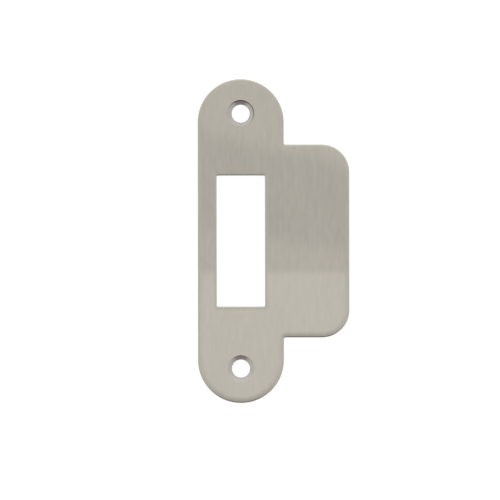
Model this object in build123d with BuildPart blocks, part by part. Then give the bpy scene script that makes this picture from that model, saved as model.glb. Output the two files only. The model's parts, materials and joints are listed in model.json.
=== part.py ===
"""Flat door strike plate: one piece of stainless sheet, blanked, pierced and countersunk.

The plate lies on its back. Its back face is at z = 0 and its front face looks along +Z.
The strip runs along Y and the lip reaches out along +X. The origin is on the back face,
midway between the two screw holes.
"""

import os
from math import atan2, tan

from build123d import *

# Sheet
thickness = 2.0

# Strip that the two screws hold in the jamb, with full round ends
strip_width = 25.0
strip_length = 94.0

# Lip that the latch rides over, level with the strip
lip_reach = 19.0
lip_length = 56.0
lip_corner_radius = 8.0
inner_corner_radius = 0.5

# Opening that the latch drops into, on the middle of the strip
opening_width = 14.0
opening_length = 38.0
opening_corner_radius = 0.3

# Countersunk screw holes, one in each end
hole_inset = 10.0
hole_diameter = 5.2
countersink_diameter = 7.8
countersink_angle = 90.0

# Edges that blanking and linishing draw down on the front: how far each roll
# reaches in across the face, and how far it drops down the wall
edge_roll_width = 2.0
edge_roll_depth = 0.55
opening_roll_width = 1.4
opening_roll_depth = 0.42

# The short slope between a roll's two arcs lies on a chamfer of these shares of its size
slope_width_share = 0.6
slope_depth_share = 0.33

hole_spacing = strip_length - 2 * hole_inset


def roll_edge(plate, rim_of, width, depth):
    """Round the front edge that rim_of picks from the front face.

    The section leaves the face in a wide arc and enters the wall in a tight one.
    """
    slope_width = width * slope_width_share
    slope_depth = depth * slope_depth_share
    slope_angle = atan2(slope_depth, slope_width)
    wall_angle = atan2(slope_width, slope_depth)
    front = plate.faces().sort_by(Axis.Z)[-1]
    chamfer(rim_of(front), slope_width, slope_depth, reference=front)

    front = plate.faces().sort_by(Axis.Z)[-1]
    fillet(rim_of(front), (width - slope_width) / tan(slope_angle / 2))

    near = 0.01 * slope_depth
    shoulder = thickness - slope_depth
    wall_rim = plate.edges().filter_by_position(Axis.Z, shoulder - near, shoulder + near)
    fillet(wall_rim, (depth - slope_depth) / tan(wall_angle / 2))


def outer_rim(front):
    return front.outer_wire().edges()


def opening_rim(front):
    return front.inner_wires()[0].edges()


with BuildPart() as strike_plate:
    # Blank: the strip and its lip in one outline
    with BuildSketch() as outline:
        SlotOverall(strip_length, strip_width, rotation=90)
        Rectangle(
            strip_width / 2 + lip_reach,
            lip_length,
            align=(Align.MIN, Align.CENTER),
        )
        lip_corners = outline.vertices().group_by(Axis.X)[-1]
        fillet(lip_corners, lip_corner_radius)
        inner_corners = (
            outline.vertices()
            .filter_by_position(Axis.X, strip_width / 2 - 0.01, strip_width / 2 + 0.01)
            .filter_by_position(Axis.Y, -lip_length / 2 - 0.01, lip_length / 2 + 0.01)
        )
        fillet(inner_corners, inner_corner_radius)
    extrude(amount=thickness)
    roll_edge(strike_plate, outer_rim, edge_roll_width, edge_roll_depth)

    # Latch opening
    with BuildSketch() as opening:
        RectangleRounded(opening_width, opening_length, opening_corner_radius)
    extrude(amount=thickness, mode=Mode.SUBTRACT)
    roll_edge(strike_plate, opening_rim, opening_roll_width, opening_roll_depth)

    # Screw holes, sunk from the front for flat heads
    with Locations(Plane.XY.offset(thickness)):
        with GridLocations(0, hole_spacing, 1, 2):
            CounterSinkHole(
                hole_diameter / 2,
                countersink_diameter / 2,
                counter_sink_angle=countersink_angle,
            )

strike_plate.part.label = "strike_plate"

os.makedirs("parts", exist_ok=True)
export_step(strike_plate.part, "parts/strike_plate.step")
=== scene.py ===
"""Looks of the door strike plate: a linished stainless plate lying on its back on a white table."""

import json
from math import atan2, cos, pi, radians, sin, tan

import bmesh
import bpy
from mathutils import Euler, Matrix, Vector


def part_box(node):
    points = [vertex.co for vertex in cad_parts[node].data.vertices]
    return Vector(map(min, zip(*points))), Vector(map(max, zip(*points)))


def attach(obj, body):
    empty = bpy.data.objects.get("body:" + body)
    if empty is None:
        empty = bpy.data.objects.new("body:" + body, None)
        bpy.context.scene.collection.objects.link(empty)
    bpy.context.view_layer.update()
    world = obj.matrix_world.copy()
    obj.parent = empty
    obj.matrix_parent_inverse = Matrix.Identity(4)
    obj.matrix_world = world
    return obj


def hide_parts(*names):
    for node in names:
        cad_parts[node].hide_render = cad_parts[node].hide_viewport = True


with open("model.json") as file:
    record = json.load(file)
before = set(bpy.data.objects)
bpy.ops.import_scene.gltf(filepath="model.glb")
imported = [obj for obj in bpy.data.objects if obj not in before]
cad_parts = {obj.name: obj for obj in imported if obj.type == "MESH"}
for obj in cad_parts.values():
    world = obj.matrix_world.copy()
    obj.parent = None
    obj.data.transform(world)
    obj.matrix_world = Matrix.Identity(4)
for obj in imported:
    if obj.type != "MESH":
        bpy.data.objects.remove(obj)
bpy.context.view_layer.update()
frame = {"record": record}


# The blank: the plate's outline punched from 2 mm stainless sheet, a strip with full round
# ends and a wide lip on one side. The punch draws the front edge down into a soft roll,
# and tumbling takes the sharpness off the back edge. The mesh is drawn in millimetres.
MM = 0.001
low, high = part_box("strike_plate")
thickness = high.z / MM
strip_half_width = -low.x / MM
strip_half_length = high.y / MM
lip_edge = high.x / MM
lip_half_length = 28
lip_corner_radius = 8
inner_corner_radius = 0.5
edge_roll_width = 2.0
edge_roll_depth = 0.55
slope_width_share = 0.6
slope_depth_share = 0.33
back_break = 0.08
end_steps = 48
corner_steps = 20
inner_corner_steps = 8
roll_steps = 10

QUARTER = pi / 2
INTO_CORNER = -1
ROUND_CORNER = 1
LINISHED, SHEARED, SUNK, MILL_BACK = range(4)


def loop_of_arcs(bm, arcs, inset, height):
    """A closed loop of edges at a height: arcs about fixed centres, joined by straight edges.

    Each arc is its centre, radius, first angle, turn, steps, and whether going into the
    metal shortens its radius (INTO_CORNER) or lengthens it (ROUND_CORNER).
    """
    edges = []
    ends = []
    for centre_x, centre_y, radius, first, turn, steps, grows in arcs:
        reach = radius + grows * inset
        centre = Vector((centre_x, centre_y, height))
        start = bm.verts.new(centre + reach * Vector((cos(first), sin(first), 0)))
        arc = bmesh.ops.spin(
            bm,
            geom=[start],
            cent=centre,
            axis=(0, 0, 1),
            angle=turn,
            steps=steps,
        )
        last = next(v for v in arc["geom_last"] if isinstance(v, bmesh.types.BMVert))
        ends.append((start, last))
        vert = start
        came_by = None
        while vert != last:
            came_by = next(e for e in vert.link_edges if e != came_by)
            edges.append(came_by)
            vert = came_by.other_vert(vert)
    for (_, last), (start, _) in zip(ends, ends[1:] + ends[:1]):
        edges.append(bm.edges.new((last, start)))
    return edges


def edge_section(width, depth):
    """The edge's section from the back up: broken back corner, straight wall, rolled front.

    The roll is a tight arc out of the wall, a short slope and a wide arc into the face.
    """
    slope_width = width * slope_width_share
    slope_depth = depth * slope_depth_share
    slope_angle = atan2(slope_depth, slope_width)
    wall_angle = QUARTER - slope_angle
    wall_radius = (depth - slope_depth) / tan(wall_angle / 2)
    face_radius = (width - slope_width) / tan(slope_angle / 2)
    section = [(back_break, 0), (0, back_break)]
    for step in range(roll_steps + 1):
        angle = wall_angle * step / roll_steps
        inset = wall_radius * (1 - cos(angle))
        height = thickness - depth + wall_radius * sin(angle)
        section.append((inset, height))
    for step in range(roll_steps, -1, -1):
        angle = slope_angle * step / roll_steps
        inset = width - face_radius * sin(angle)
        height = thickness - face_radius * (1 - cos(angle))
        section.append((inset, height))
    return section


def skin_between(bm, arcs, section):
    """Bridges loops up an edge section. Returns the loops at the back and at the front.

    The first two bands are the broken back corner and the wall, and the rest is the roll.
    """
    sheared_bands = 2
    loops = [loop_of_arcs(bm, arcs, inset, height) for inset, height in section]
    for band, (lower, upper) in enumerate(zip(loops, loops[1:])):
        bridge = bmesh.ops.bridge_loops(bm, edges=lower + upper)
        for face in bridge["faces"]:
            face.material_index = SHEARED if band < sheared_bands else LINISHED
    return loops[0], loops[-1]


end_y = strip_half_length - strip_half_width
lip_corner_x = lip_edge - lip_corner_radius
lip_corner_y = lip_half_length - lip_corner_radius
inner_x = strip_half_width + inner_corner_radius
inner_y = lip_half_length + inner_corner_radius
outline_arcs = [
    (0, end_y, strip_half_width, 0, pi, end_steps, INTO_CORNER),
    (0, -end_y, strip_half_width, pi, pi, end_steps, INTO_CORNER),
    (inner_x, -inner_y, inner_corner_radius, pi, -QUARTER, inner_corner_steps, ROUND_CORNER),
    (lip_corner_x, -lip_corner_y, lip_corner_radius, -QUARTER, QUARTER, corner_steps, INTO_CORNER),
    (lip_corner_x, lip_corner_y, lip_corner_radius, 0, QUARTER, corner_steps, INTO_CORNER),
    (inner_x, inner_y, inner_corner_radius, -QUARTER, -QUARTER, inner_corner_steps, ROUND_CORNER),
]
plate_bm = bmesh.new()
outline_back, outline_front = skin_between(
    plate_bm, outline_arcs, edge_section(edge_roll_width, edge_roll_depth)
)


# The latch opening: pierced through the strip's middle in the same stroke, so its edge has
# the same section as the outline's, with a smaller roll.
opening_half_width = 7
opening_half_length = 19
opening_corner_radius = 0.3
opening_roll_width = 1.4
opening_roll_depth = 0.42
opening_corner_steps = 8

corner_x = opening_half_width - opening_corner_radius
corner_y = opening_half_length - opening_corner_radius
opening_corner = (QUARTER, opening_corner_steps, ROUND_CORNER)
opening_arcs = [
    (corner_x, corner_y, opening_corner_radius, 0, *opening_corner),
    (-corner_x, corner_y, opening_corner_radius, QUARTER, *opening_corner),
    (-corner_x, -corner_y, opening_corner_radius, pi, *opening_corner),
    (corner_x, -corner_y, opening_corner_radius, -QUARTER, *opening_corner),
]
opening_back, opening_front = skin_between(
    plate_bm, opening_arcs, edge_section(opening_roll_width, opening_roll_depth)
)


# The screw holes: drilled through each end, then sunk from the front at 90 degrees for a
# flat head, which leaves a short straight bore behind the cone.
mounts = {mount["name"]: mount for mount in frame["record"]["mounts"]}
hole_half_spacing = mounts["screw_holes"]["dims"]["spacing_y_mm"] / 2
hole_radius = mounts["screw_holes"]["dims"]["hole_r_mm"]
sink_radius = 3.9
sink_depth = sink_radius - hole_radius
rim_break = 0.03
hole_steps = 96
rim_tolerance = 0.01


def screw_hole(bm, y):
    """Spins the hole's section round its axis. Returns its back and front rims."""
    centre = Vector((0, y, 0))
    section = [
        (hole_radius + back_break, 0),
        (hole_radius, back_break),
        (hole_radius, thickness - sink_depth),
        (sink_radius - rim_break, thickness - rim_break),
        (sink_radius + rim_break / 2, thickness),
    ]
    verts = [bm.verts.new(centre + Vector((radius, 0, z))) for radius, z in section]
    edges = [bm.edges.new(pair) for pair in zip(verts, verts[1:])]
    edges_before = set(bm.edges) - set(edges)
    faces_before = set(bm.faces)
    bmesh.ops.spin(
        bm,
        geom=verts + edges,
        cent=centre,
        axis=(0, 0, 1),
        angle=2 * pi,
        steps=hole_steps,
        use_merge=True,
    )
    for face in bm.faces:
        if face not in faces_before:
            in_cone = face.calc_center_median().z > thickness - sink_depth
            face.material_index = SUNK if in_cone else SHEARED
    made = [e for e in bm.edges if e not in edges_before]
    back_rim = [e for e in made if max(v.co.z for v in e.verts) < rim_tolerance]
    front_rim = [e for e in made if min(v.co.z for v in e.verts) > thickness - rim_tolerance]
    return back_rim, front_rim


back_rims = outline_back + opening_back
front_rims = outline_front + opening_front
for hole_y in (hole_half_spacing, -hole_half_spacing):
    hole_back, hole_front = screw_hole(plate_bm, hole_y)
    back_rims += hole_back
    front_rims += hole_front


# The two flat faces: what the tools left of the sheet. They close the outline, the opening
# and the holes into one solid.
merge_distance = 0.0005
sharp_angle = radians(40)


def flat_face(bm, rims, facing, finish):
    filled = bmesh.ops.triangle_fill(bm, use_beauty=True, edges=rims, normal=(0, 0, facing))
    for face in filled["geom"]:
        if isinstance(face, bmesh.types.BMFace):
            face.material_index = finish


flat_face(plate_bm, front_rims, 1, LINISHED)
flat_face(plate_bm, back_rims, -1, MILL_BACK)
bmesh.ops.remove_doubles(plate_bm, verts=plate_bm.verts, dist=merge_distance)
bmesh.ops.recalc_face_normals(plate_bm, faces=plate_bm.faces)

for face in plate_bm.faces:
    face.smooth = True
for edge in plate_bm.edges:
    edge.smooth = edge.calc_face_angle() < sharp_angle


# Grain: which way the tool marks run on each face. The map's U runs across the marks.
# They lie along the strip on both flats, round the cones in the holes, and straight
# through the sheet on the sheared walls.
def across_marks(face, spot):
    """U and V in millimetres at a spot on a face: across the marks and along them."""
    if face.material_index == SUNK:
        axis_y = hole_half_spacing if spot.y > 0 else -hole_half_spacing
        middle = face.calc_center_median() - Vector((0, axis_y, 0))
        out = spot - Vector((0, axis_y, 0))
        turned = middle.xy.angle_signed(out.xy)
        return out.xy.length, turned * sink_radius
    if face.material_index == SHEARED:
        along = face.normal.cross(Vector((0, 0, 1))).normalized()
        return spot.dot(along), spot.z
    return spot.x, spot.y


grain = plate_bm.loops.layers.uv.new("grain")
for face in plate_bm.faces:
    for loop in face.loops:
        loop[grain].uv = across_marks(face, loop.vert.co)

bmesh.ops.scale(plate_bm, vec=(MM, MM, MM), verts=plate_bm.verts)
plate_mesh = bpy.data.meshes.new("strike_plate_body")
plate_bm.to_mesh(plate_mesh)
plate_bm.free()
plate = bpy.data.objects.new("strike_plate_body", plate_mesh)
bpy.context.scene.collection.objects.link(plate)
flat_shading = plate.modifiers.new("keep the flats flat", "WEIGHTED_NORMAL")
flat_shading.mode = "FACE_AREA"
flat_shading.keep_sharp = True
flat_shading.weight = 80


# Linished front: warm grey stainless, ground with a fine belt along the strip and over
# the rolled edges. Fine scratches, short strokes, faint long ones and slight clouding.
linished_shade = (0.493, 0.467, 0.407)
linished_shine = (0.539, 0.513, 0.452)
long_stroke_share = 0.4
cloud_share = 0.4
scratch_depth = 0.0015 * MM


def steel(name, roughness, anisotropy):
    """A metal with its marks running along the grain map's V. Returns its nodes to build on."""
    material = bpy.data.materials.new(name)
    material.use_nodes = True
    tree = material.node_tree
    shader = tree.nodes["Principled BSDF"]
    shader.inputs["Metallic"].default_value = 1.0
    shader.inputs["Roughness"].default_value = roughness
    shader.inputs["Anisotropic"].default_value = anisotropy
    tangent = tree.nodes.new("ShaderNodeTangent")
    tangent.direction_type = "UV_MAP"
    tangent.uv_map = "grain"
    tree.links.new(tangent.outputs["Tangent"], shader.inputs["Tangent"])
    return material, tree, shader


def marks(tree, per_metre, detail, roughness=0.5):
    """Noise in the plate's own coordinates, at so many marks per metre along X, Y and Z."""
    place = tree.nodes.new("ShaderNodeTexCoord")
    mapping = tree.nodes.new("ShaderNodeMapping")
    mapping.inputs["Scale"].default_value = per_metre
    noise = tree.nodes.new("ShaderNodeTexNoise")
    noise.inputs["Scale"].default_value = 1.0
    noise.inputs["Detail"].default_value = detail
    noise.inputs["Roughness"].default_value = roughness
    tree.links.new(place.outputs["Object"], mapping.inputs["Vector"])
    tree.links.new(mapping.outputs["Vector"], noise.inputs["Vector"])
    return noise.outputs["Fac"]


def eased(tree, value, span, result):
    """A value eased from one end of result to the other as it crosses span, and held there."""
    node = tree.nodes.new("ShaderNodeMapRange")
    node.interpolation_type = "SMOOTHSTEP"
    for name, number in zip(("From Min", "From Max", "To Min", "To Max"), (*span, *result)):
        node.inputs[name].default_value = number
    tree.links.new(value, node.inputs["Value"])
    return node.outputs["Result"]


def joined(tree, operation, first, second):
    """Two values or numbers joined by an operation, such as ADD or MULTIPLY."""
    node = tree.nodes.new("ShaderNodeMath")
    node.operation = operation
    for socket, value in zip(node.inputs, (first, second)):
        if isinstance(value, (int, float)):
            socket.default_value = value
        else:
            tree.links.new(value, socket)
    return node.outputs["Value"]


def blended(tree, share, first, second):
    """A colour between two, where share is 0 for the first and 1 for the second."""
    node = tree.nodes.new("ShaderNodeMix")
    node.data_type = "RGBA"
    for name, value in (("Factor_Float", share), ("A_Color", first), ("B_Color", second)):
        socket = next(s for s in node.inputs if s.identifier == name)
        if isinstance(value, tuple):
            socket.default_value = (*value, 1)
        else:
            tree.links.new(value, socket)
    return next(s for s in node.outputs if s.identifier == "Result_Color")


def relief(tree, shader, height, depth):
    """Bumps the surface by height times depth, in metres."""
    bump = tree.nodes.new("ShaderNodeBump")
    bump.inputs["Distance"].default_value = depth
    tree.links.new(height, bump.inputs["Height"])
    tree.links.new(bump.outputs["Normal"], shader.inputs["Normal"])


def linished_steel():
    material, tree, shader = steel("linished_steel", roughness=0.2, anisotropy=1.0)
    fine = marks(tree, (9000, 60, 9000), detail=3)
    strokes = marks(tree, (900, 240, 900), detail=3, roughness=0.65)
    long_strokes = marks(tree, (1100, 16, 1100), detail=3)
    cloud = marks(tree, (70, 45, 70), detail=2)
    long_strokes = joined(tree, "MULTIPLY", long_strokes, long_stroke_share)
    cloud = joined(tree, "MULTIPLY", cloud, cloud_share)
    streaks = joined(tree, "ADD", strokes, long_strokes)
    bright = eased(tree, joined(tree, "ADD", streaks, cloud), (0.5, 1.3), (0, 1))
    colour = blended(tree, bright, linished_shade, linished_shine)
    tree.links.new(colour, shader.inputs["Base Color"])
    scratched = joined(tree, "ADD", fine, streaks)
    rough = eased(tree, scratched, (0.8, 1.6), (0.183, 0.217))
    tree.links.new(rough, shader.inputs["Roughness"])
    relief(tree, shader, scratched, scratch_depth)
    return material


# Sheared walls: the punch burnishes the sheet as it starts through, then the rest tears
# off, so a bright band under the front edge turns into a dull grainy one towards the back.
torn_shade = (0.33, 0.315, 0.285)
torn_shine = (0.46, 0.44, 0.40)
rubbed_shade = (0.50, 0.48, 0.43)
rubbed_shine = (0.57, 0.55, 0.50)
torn_up_to = 1.0 * MM
rubbed_from = 1.16 * MM
band_wander = 0.2 * MM
grit_over_streaks = 6
grit_depth = 0.004 * MM


def place_on_plate(tree):
    """Where a point lies on the plate, as X, Y and Z in metres."""
    place = tree.nodes.new("ShaderNodeTexCoord")
    split = tree.nodes.new("ShaderNodeSeparateXYZ")
    tree.links.new(place.outputs["Object"], split.inputs["Vector"])
    return split.outputs


def sheared_steel():
    material, tree, shader = steel("sheared_steel", roughness=0.4, anisotropy=0.5)
    wander = marks(tree, (260, 260, 0), detail=6, roughness=0.6)
    wander = eased(tree, wander, (0.2, 0.8), (-band_wander, band_wander))
    height = joined(tree, "ADD", place_on_plate(tree)["Z"], wander)
    burnished = eased(tree, height, (torn_up_to, rubbed_from), (0, 1))
    streaks = marks(tree, (14000, 14000, 500), detail=3)
    grains = marks(tree, (9000, 9000, 5500), detail=5, roughness=0.7)
    torn = blended(tree, grains, torn_shade, torn_shine)
    rubbed = blended(tree, streaks, rubbed_shade, rubbed_shine)
    tree.links.new(blended(tree, burnished, torn, rubbed), shader.inputs["Base Color"])
    tree.links.new(eased(tree, burnished, (0, 1), (0.5, 0.27)), shader.inputs["Roughness"])
    dull = joined(tree, "SUBTRACT", 1, burnished)
    grit = joined(tree, "MULTIPLY", joined(tree, "MULTIPLY", grains, dull), grit_over_streaks)
    relief(tree, shader, joined(tree, "ADD", grit, streaks), grit_depth)
    return material


# Countersinks: turned after linishing, so they keep fine rings and are a little brighter
# than the face. The upper one's rim is painted dark on its upper right: painted shade that
# stands in for the studio's dark near side reflected in the cone.
turned_shade = (0.536, 0.508, 0.470)
turned_shine = (0.616, 0.588, 0.550)
# Painted shade: the dark colour painted into the upper countersink's rim.
painted_shade_colour = (0.135, 0.120, 0.103)
painted_shade_direction = radians(55)
painted_shade_inner = (sink_radius - 0.4) * MM
painted_shade_outer = (sink_radius - 0.1) * MM
painted_shade_start = -0.5 * sink_radius * MM
painted_shade_full = 0.9 * sink_radius * MM
ring_depth = 0.002 * MM


def sunk_steel():
    material, tree, shader = steel("sunk_steel", roughness=0.4, anisotropy=0.85)
    place = place_on_plate(tree)
    either_end = joined(tree, "ABSOLUTE", place["Y"], 0)
    past_axis = joined(tree, "SUBTRACT", either_end, hole_half_spacing * MM)
    from_axis = tree.nodes.new("ShaderNodeCombineXYZ")
    tree.links.new(place["X"], from_axis.inputs["X"])
    tree.links.new(past_axis, from_axis.inputs["Y"])
    rings = tree.nodes.new("ShaderNodeTexWave")
    rings.wave_type = "RINGS"
    rings.rings_direction = "Z"
    rings.inputs["Scale"].default_value = 3000
    rings.inputs["Distortion"].default_value = 1.5
    rings.inputs["Detail"].default_value = 3
    rings.inputs["Detail Scale"].default_value = 0.4
    tree.links.new(from_axis.outputs["Vector"], rings.inputs["Vector"])
    turned = blended(tree, rings.outputs["Fac"], turned_shade, turned_shine)
    radius = tree.nodes.new("ShaderNodeVectorMath")
    radius.operation = "LENGTH"
    tree.links.new(from_axis.outputs["Vector"], radius.inputs[0])
    # Painted shade: a dark band just inside the upper hole's rim, strongest towards its upper
    # right.
    rim = eased(tree, radius.outputs["Value"], (painted_shade_inner, painted_shade_outer), (0, 1))
    toward_painted_shade = tree.nodes.new("ShaderNodeVectorMath")
    toward_painted_shade.operation = "DOT_PRODUCT"
    toward_painted_shade.inputs[1].default_value = (cos(painted_shade_direction), sin(painted_shade_direction), 0)
    tree.links.new(from_axis.outputs["Vector"], toward_painted_shade.inputs[0])
    side = eased(tree, toward_painted_shade.outputs["Value"], (painted_shade_start, painted_shade_full), (0.15, 1))
    upper = eased(tree, place["Y"], (0, MM), (0, 1))
    painted_shade = joined(tree, "MULTIPLY", joined(tree, "MULTIPLY", rim, side), upper)
    colour = blended(tree, painted_shade, turned, painted_shade_colour)
    tree.links.new(colour, shader.inputs["Base Color"])
    relief(tree, shader, rings.outputs["Fac"], ring_depth)
    return material


# Back: the sheet's own cold-rolled skin, dull and even, with faint rolling lines and slight
# clouding. The plate's four finishes go on it here, and it takes the CAD plate's place.
mill_shade = (0.40, 0.39, 0.365)
mill_shine = (0.47, 0.46, 0.43)
skin_depth = 0.001 * MM


def mill_steel():
    material, tree, shader = steel("mill_steel", roughness=0.42, anisotropy=0.25)
    rolled = marks(tree, (2600, 140, 2600), detail=4, roughness=0.6)
    skin = marks(tree, (5200, 5200, 5200), detail=3)
    cloud = marks(tree, (90, 90, 90), detail=3)
    texture = joined(tree, "ADD", rolled, skin)
    bright = eased(tree, joined(tree, "ADD", texture, cloud), (1.1, 1.9), (0, 1))
    tree.links.new(blended(tree, bright, mill_shade, mill_shine), shader.inputs["Base Color"])
    tree.links.new(eased(tree, cloud, (0.3, 0.7), (0.37, 0.47)), shader.inputs["Roughness"])
    relief(tree, shader, texture, skin_depth)
    return material


for finish in (linished_steel, sheared_steel, sunk_steel, mill_steel):
    plate.data.materials.append(finish())

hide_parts("strike_plate")
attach(plate, "root")


# White table: it glows white to the camera and in the steel, and a matt share keeps the
# plate's faint shadow. It lies a hair under the plate's back, and has no underside, so the
# back can be looked at from below.
table_reach = 4
table_gap = 0.02 * MM
glow = 0.86
shadow_grey = (0.32, 0.32, 0.32, 1)
bounce_grey = (0.8, 0.8, 0.8, 1)

table_bm = bmesh.new()
bmesh.ops.create_grid(table_bm, x_segments=1, y_segments=1, size=table_reach)
bmesh.ops.translate(table_bm, vec=(0, 0, -table_gap), verts=table_bm.verts)
table_mesh = bpy.data.meshes.new("table")
table_bm.to_mesh(table_mesh)
table_bm.free()
table = bpy.data.objects.new("table", table_mesh)
bpy.context.scene.collection.objects.link(table)

table_material = bpy.data.materials.new("white_table")
table_material.use_nodes = True
tree = table_material.node_tree
tree.nodes.clear()
output = tree.nodes.new("ShaderNodeOutputMaterial")
ray = tree.nodes.new("ShaderNodeLightPath")
facing = tree.nodes.new("ShaderNodeNewGeometry")
matt = tree.nodes.new("ShaderNodeBsdfDiffuse")
white = tree.nodes.new("ShaderNodeEmission")
white_top = tree.nodes.new("ShaderNodeAddShader")
plain_top = tree.nodes.new("ShaderNodeBsdfDiffuse")
top = tree.nodes.new("ShaderNodeMixShader")
clear = tree.nodes.new("ShaderNodeBsdfTransparent")
top_only = tree.nodes.new("ShaderNodeMixShader")
matt.inputs["Color"].default_value = shadow_grey
white.inputs["Strength"].default_value = glow
plain_top.inputs["Color"].default_value = bounce_grey
shows = joined(tree, "MAXIMUM", ray.outputs["Is Camera Ray"], ray.outputs["Is Glossy Ray"])
shows = joined(tree, "MAXIMUM", shows, ray.outputs["Is Transmission Ray"])
tree.links.new(matt.outputs["BSDF"], white_top.inputs[0])
tree.links.new(white.outputs["Emission"], white_top.inputs[1])
tree.links.new(shows, top.inputs["Fac"])
tree.links.new(plain_top.outputs["BSDF"], top.inputs[1])
tree.links.new(white_top.outputs["Shader"], top.inputs[2])
tree.links.new(facing.outputs["Backfacing"], top_only.inputs["Fac"])
tree.links.new(top.outputs["Shader"], top_only.inputs[1])
tree.links.new(clear.outputs["BSDF"], top_only.inputs[2])
tree.links.new(top_only.outputs["Shader"], output.inputs["Surface"])
table.data.materials.append(table_material)


# Studio: pale all round, brighter on the far side, and dark low down on the near side,
# which draws the dark line along the plate's near edges. The camera sees it plain white.
white_backdrop = (1, 1, 1, 1)

world = bpy.data.worlds.new("studio")
bpy.context.scene.world = world
world.use_nodes = True
tree = world.node_tree
tree.nodes.clear()
output = tree.nodes.new("ShaderNodeOutputWorld")
studio = tree.nodes.new("ShaderNodeBackground")
backdrop = tree.nodes.new("ShaderNodeBackground")
choose = tree.nodes.new("ShaderNodeMixShader")
ray = tree.nodes.new("ShaderNodeLightPath")
place = tree.nodes.new("ShaderNodeTexCoord")
towards = tree.nodes.new("ShaderNodeSeparateXYZ")
tree.links.new(place.outputs["Generated"], towards.inputs["Vector"])
far = towards.outputs["Y"]
up = towards.outputs["Z"]
sideways = joined(tree, "ABSOLUTE", towards.outputs["X"], 0)
near_dark = eased(tree, far, (-0.88, -0.08), (-0.66, 0))
near_darkest = eased(tree, far, (-0.88, -0.66), (-0.20, 0))
straight_near = eased(tree, sideways, (0.35, 0.62), (1, 0))
level = joined(tree, "MULTIPLY", joined(tree, "ADD", near_dark, near_darkest), straight_near)
pale = eased(tree, far, (-0.9, -0.1), (0.62, 0.75))
far_bright = eased(tree, far, (0.0, 0.9), (0, 0.38))
clear_of_table = eased(tree, up, (0.0, 0.16), (0.1, 1))
far_bright = joined(tree, "MULTIPLY", far_bright, clear_of_table)
side_bright = eased(tree, sideways, (0.0, 0.5), (0, 0.072))
below_top = eased(tree, up, (0.6, 1.0), (0.1, 0))
dim_at_table = eased(tree, up, (0.0, 0.14), (-0.25, 0))
for change in (pale, far_bright, side_bright, below_top, dim_at_table):
    level = joined(tree, "ADD", level, change)
level = joined(tree, "MAXIMUM", level, 0)
tree.links.new(level, studio.inputs["Strength"])
studio.inputs["Color"].default_value = white_backdrop
backdrop.inputs["Color"].default_value = white_backdrop
tree.links.new(ray.outputs["Is Camera Ray"], choose.inputs["Fac"])
tree.links.new(studio.outputs["Background"], choose.inputs[1])
tree.links.new(backdrop.outputs["Background"], choose.inputs[2])
tree.links.new(choose.outputs["Shader"], output.inputs["Surface"])


# Softboxes: three flat lamps hung close over the plate, with a gap between them for the
# lens. A grid on each lets it be seen only from nearly straight below.
softbox_width = 0.5
softbox_depth = 0.2


def softbox(name, height, edge_y, away, radiance, grid, turn):
    """A flat lamp over the plate that the camera itself doesn't see.

    It starts at edge_y and reaches away along Y, and its edge is turned about the plate's
    middle. Grid is the angle that its light is held to, radiance its brightness from
    straight below. Grid and turn are in degrees, lengths in metres.
    """
    half_angle = radians(grid) / 2
    gathered = tan(half_angle) / (tan(half_angle) - half_angle)
    data = bpy.data.lights.new(name, "AREA")
    data.shape = "RECTANGLE"
    data.size = softbox_width
    data.size_y = softbox_depth
    data.spread = radians(grid)
    data.energy = radiance * pi * softbox_width * softbox_depth / gathered
    lamp = bpy.data.objects.new(name, data)
    centre = Vector((0, edge_y + away * softbox_depth / 2, height))
    centre.rotate(Euler((0, 0, radians(turn))))
    lamp.location = centre
    lamp.rotation_euler = (0, 0, radians(turn))
    lamp.visible_camera = False
    bpy.context.scene.collection.objects.link(lamp)


softbox("near_softbox", height=0.040, edge_y=-0.0094, away=-1, radiance=0.305, grid=29, turn=0)
softbox("low_softbox", height=0.085, edge_y=0.0020, away=-1, radiance=0.175, grid=32, turn=-9)
softbox("far_softbox", height=0.065, edge_y=0.0301, away=1, radiance=0.172, grid=50, turn=-13)


# Camera: square on from straight above and far off, as the photograph was taken. Its aim
# and its slight lean set the plate where the photograph has it.
camera_distance = 1.0
camera_x = 2.66 * MM
camera_y = -2.59 * MM
camera_lean = radians(-0.075)
field_width = 0.14527

camera_data = bpy.data.cameras.new("camera")
camera_data.lens = camera_distance * camera_data.sensor_width / field_width
camera = bpy.data.objects.new("camera", camera_data)
camera.location = (camera_x, camera_y, camera_distance)
camera.rotation_euler = (0, 0, camera_lean)
bpy.context.scene.collection.objects.link(camera)
bpy.context.scene.camera = camera
bpy.context.scene.view_settings.view_transform = "Standard"
